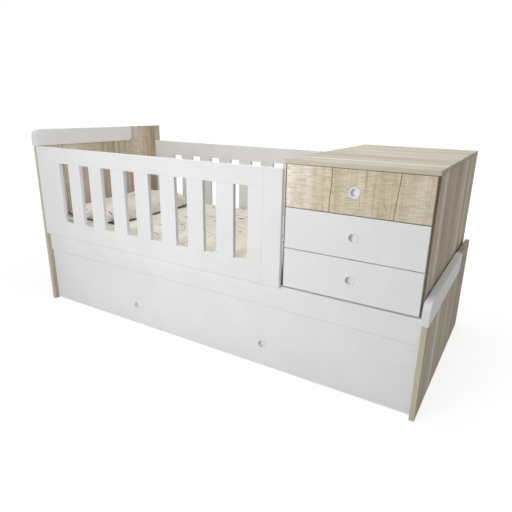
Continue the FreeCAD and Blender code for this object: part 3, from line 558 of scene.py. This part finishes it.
def puff(piece, pressure, limit):
    before = np.array([v.co for v in piece.data.vertices])
    cloth = piece.modifiers.new("Puff", "CLOTH")
    cloth.settings.quality = air["quality"]
    cloth.settings.mass = air["mass"]
    cloth.settings.tension_stiffness = air["stiffness"]
    cloth.settings.compression_stiffness = air["stiffness"]
    cloth.settings.shear_stiffness = air["shear"]
    cloth.settings.bending_stiffness = air["bending"]
    cloth.settings.use_pressure = True
    cloth.settings.uniform_pressure_force = pressure
    cloth.settings.effector_weights.gravity = 0
    cloth.collision_settings.use_collision = False
    cloth.point_cache.frame_start = 1
    cloth.point_cache.frame_end = air["frames"]
    scene = bpy.context.scene
    for number in range(1, air["frames"] + 1):
        scene.frame_set(number)
    graph = bpy.context.evaluated_depsgraph_get()
    after = np.array([v.co for v in piece.evaluated_get(graph).data.vertices])
    piece.modifiers.remove(cloth)
    scene.frame_set(1)
    move = after - before
    reach = np.linalg.norm(move, axis=1, keepdims=True)
    after = before + move * np.minimum(1, limit / np.maximum(reach, 1e-9))
    piece.data.vertices.foreach_set("co", after.ravel())
    piece.data.update()


# A closed pillow form on a grid: upper and lower skin share the seam round the edge
def cushionForm(columns, rows, surface):
    points, faces, index = [], [], {}
    for side in (1, -1):
        for row in range(rows + 1):
            for column in range(columns + 1):
                onEdge = row in (0, rows) or column in (0, columns)
                if onEdge and side < 0:
                    index[side, row, column] = index[1, row, column]
                    continue
                index[side, row, column] = len(points)
                points.append(surface(2 * column / columns - 1, 2 * row / rows - 1, side, onEdge))
    for side in (1, -1):
        for row in range(rows):
            for column in range(columns):
                corners = [index[side, row, column], index[side, row, column + 1],
                           index[side, row + 1, column + 1], index[side, row + 1, column]]
                faces.append(corners if side > 0 else corners[::-1])
    seam = [index[1, 0, c] for c in range(columns)]
    seam += [index[1, r, columns] for r in range(rows)]
    seam += [index[1, rows, c] for c in range(columns, 0, -1)]
    seam += [index[1, r, 0] for r in range(rows, 0, -1)]
    return points, faces, seam


# Lifts what sags below the top of the mattress, so that the pillow rests flat on it
def restOn(piece, floorHeight):
    for vertex in piece.data.vertices:
        if vertex.co.z < floorHeight:
            vertex.co.z = floorHeight
    piece.data.update()


def smoothed(piece, levels=1):
    detail = piece.modifiers.new("Smooth", "SUBSURF")
    detail.levels = detail.render_levels = levels
    bpy.context.view_layer.update()
    graph = bpy.context.evaluated_depsgraph_get()
    mesh = bpy.data.meshes.new_from_object(piece.evaluated_get(graph))
    piece.modifiers.remove(detail)
    old = piece.data
    piece.data = mesh
    mesh.name = old.name
    bpy.data.meshes.remove(old)
    for face in piece.data.polygons:
        face.use_smooth = True


# A round cord of cloth along a closed line of points
def tubeAlong(name, line, radius, material, sides=8):
    points, faces = [], []
    count = len(line)
    for number, here in enumerate(line):
        ahead = (line[(number + 1) % count] - line[number - 1]).normalized()
        out = ahead.cross(Vector((0, 0, 1))).normalized()
        up = out.cross(ahead).normalized()
        for side in range(sides):
            angle = math.tau * side / sides
            points.append(here + (out * math.cos(angle) + up * math.sin(angle)) * radius)
    for number in range(count):
        following = (number + 1) % count
        for side in range(sides):
            beside = (side + 1) % sides
            faces.append([number * sides + side, number * sides + beside,
                          following * sides + beside, following * sides + side])
    return newPiece(name, points, faces, material)


# Mattress: a foam block in a printed cover. The skin bows between its edges, and its corners pucker. The cover has a
# painted shade towards the head end
mattress = {
    "inset": 0.004,
    "corner": 0.045,
    "edge": 0.026,
    "cell": 0.0125,
    "puff": 1.2,
    "limit": 0.004,
    "fill": 0.9,
    # where the painted shade on the mattress cover begins, at the head end
    "headEnd": -0.95,
}


def makeMattress():
    low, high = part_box("mattress")
    low = low + Vector((mattress["inset"],) * 3)
    high = high - Vector((mattress["inset"],) * 3)
    middle, half = (low + high) / 2, (high - low) / 2
    columns = round(half.x * 2 / mattress["cell"])
    rows = round(half.y * 2 / mattress["cell"])
    layers = round(half.z * 2 / mattress["cell"])
    counts = (columns, rows, layers)
    radii = (mattress["corner"], mattress["corner"], mattress["edge"])
    index, points, faces = {}, [], []

    # A point of the box's skin, with its edges rounded by the distance to an inner box
    def skin(place):
        key = tuple(place)
        if key in index:
            return index[key]
        raw = [(-1 + 2 * p / n) * h for p, n, h in zip(place, counts, half)]
        core = Vector([max(-h + r, min(h - r, v)) for v, h, r in zip(raw, half, radii)])
        off = Vector(raw) - core
        scale = Vector([1 / r for r in radii])
        unit = Vector([a * b for a, b in zip(off, scale)])
        longest = max(abs(v) for v in unit)
        if unit.length > 1e-9:
            unit = unit * (longest / unit.length)
        spot = core + Vector([a / b for a, b in zip(unit, scale)])
        index[key] = len(points)
        points.append(middle + spot)
        return index[key]

    for axis in range(3):
        one, two = (axis + 1) % 3, (axis + 2) % 3
        for end in (0, counts[axis]):
            for a in range(counts[one]):
                for b in range(counts[two]):
                    corners = []
                    for da, db in ((0, 0), (1, 0), (1, 1), (0, 1)):
                        place = [0, 0, 0]
                        place[axis], place[one], place[two] = end, a + da, b + db
                        corners.append(skin(place))
                    faces.append(corners if end else corners[::-1])
    piece = newPiece("mattress_cover", points, faces, makeCotton("printed cotton, mattress", 0.0, paintedShadeFrom=mattress["headEnd"]))
    puff(piece, mattress["puff"], mattress["limit"])
    smoothed(piece)
    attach(piece, "bed")
    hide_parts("mattress")


# Pillow: two skins sewn round the edge, crowned above and flat below, with a dark piping in the seam.
# The seam sinks towards the mattress between the corners, the front edge bows out, and the filling
# is fuller towards the rear and the foot of the bed
pillow = {
    "columns": 44,
    "rows": 62,
    "tight": (-0.002, 0.001),
    "waist": 0.012,
    "bow": 0.015,
    "seamMiddle": 0.003,
    "seamCorner": 0.016,
    "crown": 0.071,
    "fuller": 0.010,
    "under": 0.026,
    "boxy": {"foot": 9.0, "head": 4.0, "rear": 9.0, "front": 3.5},
    "swell": 0.42,
    "puff": 5.0,
    "limit": 0.012,
    "fill": 0.7,
    "piping": 0.0030,
    "ground": tone(230, 225, 214),
}


def makePillow():
    low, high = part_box("pillow")
    middle, half = (low + high) / 2, (high - low) / 2
    halfX, halfY = half.x - pillow["tight"][0], half.y - pillow["tight"][1]
    boxy = pillow["boxy"]

    def surface(u, v, side, onEdge):
        x = halfX * u * (1 - pillow["waist"] / halfX * (1 - v * v) * abs(u) ** 3)
        inward = pillow["waist"] if v > 0 else -pillow["bow"]
        y = halfY * v * (1 - inward / halfY * (1 - u * u) * abs(v) ** 3)
        corner = (u * u * v * v) ** 2
        seam = low.z + pillow["seamMiddle"] + (pillow["seamCorner"] - pillow["seamMiddle"]) * corner
        acrossRise = 1 - abs(u) ** (boxy["foot"] if u > 0 else boxy["head"])
        alongRise = 1 - abs(v) ** (boxy["rear"] if v > 0 else boxy["front"])
        rise = (acrossRise * alongRise) ** pillow["swell"]
        crown = pillow["crown"] + pillow["fuller"] * (u + v)
        lift = crown * rise if side > 0 else -pillow["under"] * rise ** 0.7
        return Vector((middle.x + x, middle.y + y, seam + (0 if onEdge else lift)))

    points, faces, seam = cushionForm(pillow["columns"], pillow["rows"], surface)
    piece = newPiece("pillow_cover", points, faces, makeCotton("printed cotton, pillow", 1.7, pillow["ground"]))
    puff(piece, pillow["puff"], pillow["limit"])
    restOn(piece, low.z + 0.0005)
    line = [piece.data.vertices[i].co.copy() for i in seam]
    smoothed(piece)
    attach(piece, "bed")
    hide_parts("pillow")
    piping = tubeAlong("pillow_piping", line, pillow["piping"], makePiping("charcoal piping"))
    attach(piping, "bed")


makeMattress()
makePillow()
print("bedding made")


# Studio: a pale floor that shows white to the camera and keeps a soft shadow, and soft lamps
studio = {
    "floorSize": 30,
    "floorPale": tone(232, 232, 232),
    "floorDull": tone(228, 228, 228),
    "floorNear": 0.82,  # glow of the floor under the crib, and from farStart on
    "floorFar": 1.0,
    "nearEnd": 1.6,
    "farStart": 4.5,
    "floorShade": 0.30,
    "worldLevel": 0.2,
}


# 1 for the rays that show the studio itself: straight, in a reflection or through something clear
def shownRays(tree):
    rays = add(tree, "LightPath")
    shown = calc(tree, "MAXIMUM", rays.outputs["Is Camera Ray"], rays.outputs["Is Glossy Ray"])
    return calc(tree, "MAXIMUM", shown, rays.outputs["Is Transmission Ray"])


def makeFloor():
    size = studio["floorSize"]
    corners = [(-size, -size, 0), (size, -size, 0), (size, size, 0), (-size, size, 0)]
    material, tree, shader, point = newMaterial("pale studio floor")
    shader.inputs["Roughness"].default_value = 0.9
    pale = mixed(tree, noise(tree, point, (2, 2, 2)), studio["floorPale"], studio["floorDull"])
    tree.links.new(pale, shader.inputs["Base Color"])
    away = add(tree, "VectorMath", {0: point}, operation="LENGTH").outputs["Value"]
    level = add(tree, "MapRange", {"Value": away, "From Min": studio["nearEnd"], "From Max": studio["farStart"],
                                   "To Min": studio["floorNear"], "To Max": studio["floorFar"]})
    glow = add(tree, "Emission", {"Strength": level.outputs["Result"]})
    seen = add(tree, "BsdfDiffuse", {"Color": (studio["floorShade"],) * 3 + (1,)})
    shown = add(tree, "AddShader", {0: glow.outputs[0], 1: seen.outputs[0]})
    choice = add(tree, "MixShader", {0: shownRays(tree), 1: shader.outputs[0], 2: shown.outputs[0]})
    tree.links.new(choice.outputs[0], tree.nodes["Material Output"].inputs["Surface"])
    floor = newPiece("studio_floor", corners, [(0, 1, 2, 3)], material, False)


def makeWorld():
    world = bpy.data.worlds.new("white studio")
    bpy.context.scene.world = world
    world.use_nodes = True
    tree = world.node_tree
    level = add(tree, "MapRange", {"Value": shownRays(tree), "To Min": studio["worldLevel"], "To Max": 1.0})
    back = tree.nodes["Background"]
    back.inputs["Color"].default_value = (1, 1, 1, 1)
    tree.links.new(level.outputs["Result"], back.inputs["Strength"])


# place, aimed at, size, watts
lamps = {
    "window": ((-0.1, -2.28, 1.42), (0.0, -0.4, 0.4), 1.0, 22.6),
    "low softbox": ((0.0, -3.4, 1.0), (0.0, -0.3, 0.4), 1.6, 6.5),
    "ceiling": ((0.0, 0.0, 3.4), (0.0, 0.0, 0.0), 2.0, 43.0),
    "right ceiling": ((1.5, 0.3, 3.0), (0.0, 0.0, 0.3), 1.6, 12.0),
    "rear fill": ((-0.3, 3.4, 1.5), (0.0, 0.4, 0.5), 1.8, 16.0),
}


def makeLamps():
    for name, (place, aim, size, watts) in lamps.items():
        data = bpy.data.lights.new(name, "AREA")
        data.size = size
        data.energy = watts
        lamp = bpy.data.objects.new(name, data)
        lamp.location = place
        lamp.rotation_euler = (Vector(aim) - Vector(place)).to_track_quat("-Z", "Y").to_euler()
        bpy.context.scene.collection.objects.link(lamp)


camera = {
    "place": (1.17565, -1.84699, 1.01692),
    "yaw": 31.03,
    "pitch": -18.08,
    "roll": 0.98,
    "lens": 31.83,
    "film": 36,
}


def makeCamera():
    data = bpy.data.cameras.new("photo view")
    data.sensor_width = camera["film"]
    data.lens = camera["lens"]
    yaw, pitch, roll = (math.radians(camera[key]) for key in ("yaw", "pitch", "roll"))
    ahead = Vector((-math.sin(yaw) * math.cos(pitch), math.cos(yaw) * math.cos(pitch), math.sin(pitch)))
    right = Vector((math.cos(yaw), math.sin(yaw), 0))
    up = right.cross(ahead)
    across = math.cos(roll) * right + math.sin(roll) * up
    upright = math.cos(roll) * up - math.sin(roll) * right
    view = bpy.data.objects.new("photo view", data)
    view.matrix_world = Matrix.Translation(camera["place"]) @ Matrix((across, upright, -ahead)).transposed().to_4x4()
    bpy.context.scene.collection.objects.link(view)
    bpy.context.scene.camera = view


makeFloor()
makeWorld()
makeLamps()
makeCamera()
bpy.context.scene.view_settings.view_transform = "Standard"
print("studio ready")

bpy.context.view_layer.update()
